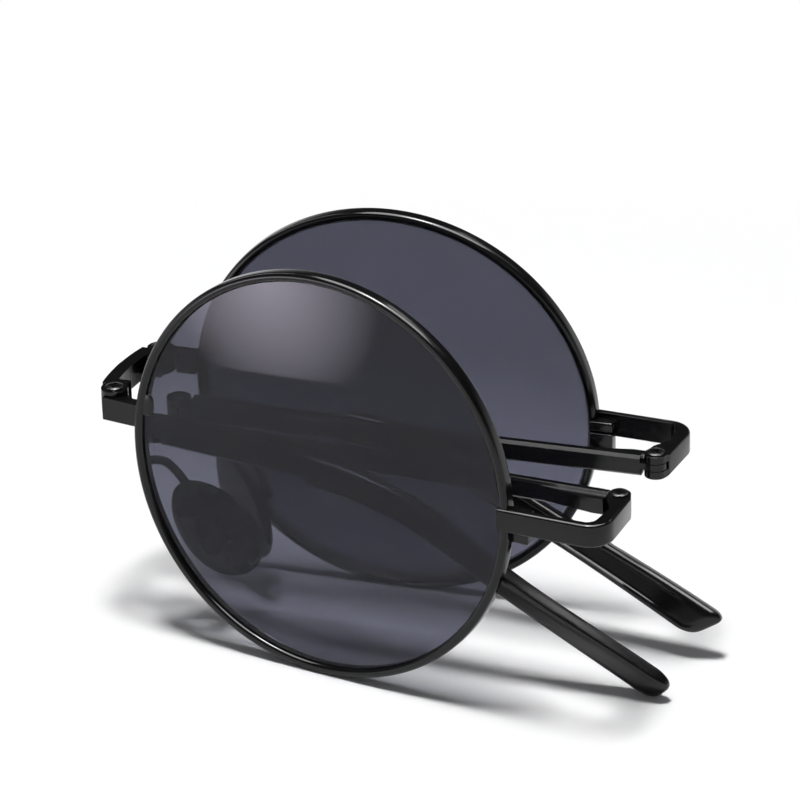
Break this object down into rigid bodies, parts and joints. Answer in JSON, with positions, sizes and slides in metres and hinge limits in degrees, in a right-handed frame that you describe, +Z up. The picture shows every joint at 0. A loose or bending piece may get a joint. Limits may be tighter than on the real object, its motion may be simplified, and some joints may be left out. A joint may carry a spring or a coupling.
{
  "type": "folding sunglasses",
  "caption": "Round folding sunglasses with slim black rims, dark lenses, a hinged bridge and temples that fold in half, shown folded and standing on the rims.",
  "frame": {"origin": "on the floor, at the middle of the box that holds the folded object", "axes": "+Z up, along every hinge pin; +X from the bridge to the temple hinges; +Y from the left half to the right half"},
  "size_m": [0.0734, 0.0298, 0.0512],
  "materials": {
    "frame_metal": "gloss",
    "lens": "gloss",
    "screw_metal": "satin",
    "tip_plastic": "satin",
    "pad_plastic": "gloss"
  },
  "bodies": {
    "bridge_link": {"bridge_link": "frame_metal", "left_bridge_screw": "screw_metal", "right_bridge_screw": "screw_metal"},
    "left_front": {"left_rim": "frame_metal", "left_lens": "lens", "left_lock_screw": "screw_metal", "left_bridge_arm": "frame_metal", "left_endpiece": "frame_metal", "left_temple_hinge_screw": "screw_metal", "left_pad_arm": "frame_metal", "left_pad_pin": "screw_metal"},
    "left_temple_front": {"left_temple_front": "frame_metal", "left_mid_hinge_screw": "screw_metal"},
    "left_temple_rear": {"left_temple_rear": "frame_metal", "left_temple_tip": "tip_plastic"},
    "left_nose_pad": {"left_nose_pad": "pad_plastic"},
    "right_front": {"right_rim": "frame_metal", "right_lens": "lens", "right_lock_screw": "screw_metal", "right_bridge_arm": "frame_metal", "right_endpiece": "frame_metal", "right_temple_hinge_screw": "screw_metal", "right_pad_arm": "frame_metal", "right_pad_pin": "screw_metal"},
    "right_temple_front": {"right_temple_front": "frame_metal", "right_mid_hinge_screw": "screw_metal"},
    "right_temple_rear": {"right_temple_rear": "frame_metal", "right_temple_tip": "tip_plastic"},
    "right_nose_pad": {"right_nose_pad": "pad_plastic"}
  },
  "joints": [
    {"name": "left_bridge_hinge", "type": "hinge", "parent": "bridge_link", "child": "left_front", "pos_m": [-0.03412, -0.0062, 0.02855], "axis": [0, 0, -1], "range_deg": [0, 84.25]},
    {"name": "left_temple_hinge", "type": "hinge", "parent": "left_front", "child": "left_temple_front", "pos_m": [0.03111, -0.00573, 0.02585], "axis": [0, 0, -1], "range_deg": [0, 3]},
    {"name": "left_mid_hinge", "type": "hinge", "parent": "left_temple_front", "child": "left_temple_rear", "pos_m": [-0.03045, -0.00334, 0.02391], "axis": [0, 0, -1], "range_deg": [0, 5]},
    {"name": "left_pad_rock", "type": "hinge", "parent": "left_front", "child": "left_nose_pad", "pos_m": [-0.02142, -0.00568, 0.01224], "axis": [-0.7013, -0.4316, -0.5674], "range_deg": [-6, 6]},
    {"name": "right_bridge_hinge", "type": "hinge", "parent": "bridge_link", "child": "right_front", "pos_m": [-0.03412, 0.0062, 0.02855], "axis": [0, 0, 1], "range_deg": [0, 84.25]},
    {"name": "right_temple_hinge", "type": "hinge", "parent": "right_front", "child": "right_temple_front", "pos_m": [0.03111, 0.00573, 0.02585], "axis": [0, 0, 1], "range_deg": [0, 3]},
    {"name": "right_mid_hinge", "type": "hinge", "parent": "right_temple_front", "child": "right_temple_rear", "pos_m": [-0.03045, 0.00334, 0.02391], "axis": [0, 0, 1], "range_deg": [-3.5, 1.5]},
    {"name": "right_pad_rock", "type": "hinge", "parent": "right_front", "child": "right_nose_pad", "pos_m": [-0.02142, 0.00568, 0.01224], "axis": [0.7013, -0.4316, 0.5674], "range_deg": [-6, 6]}
  ]
}
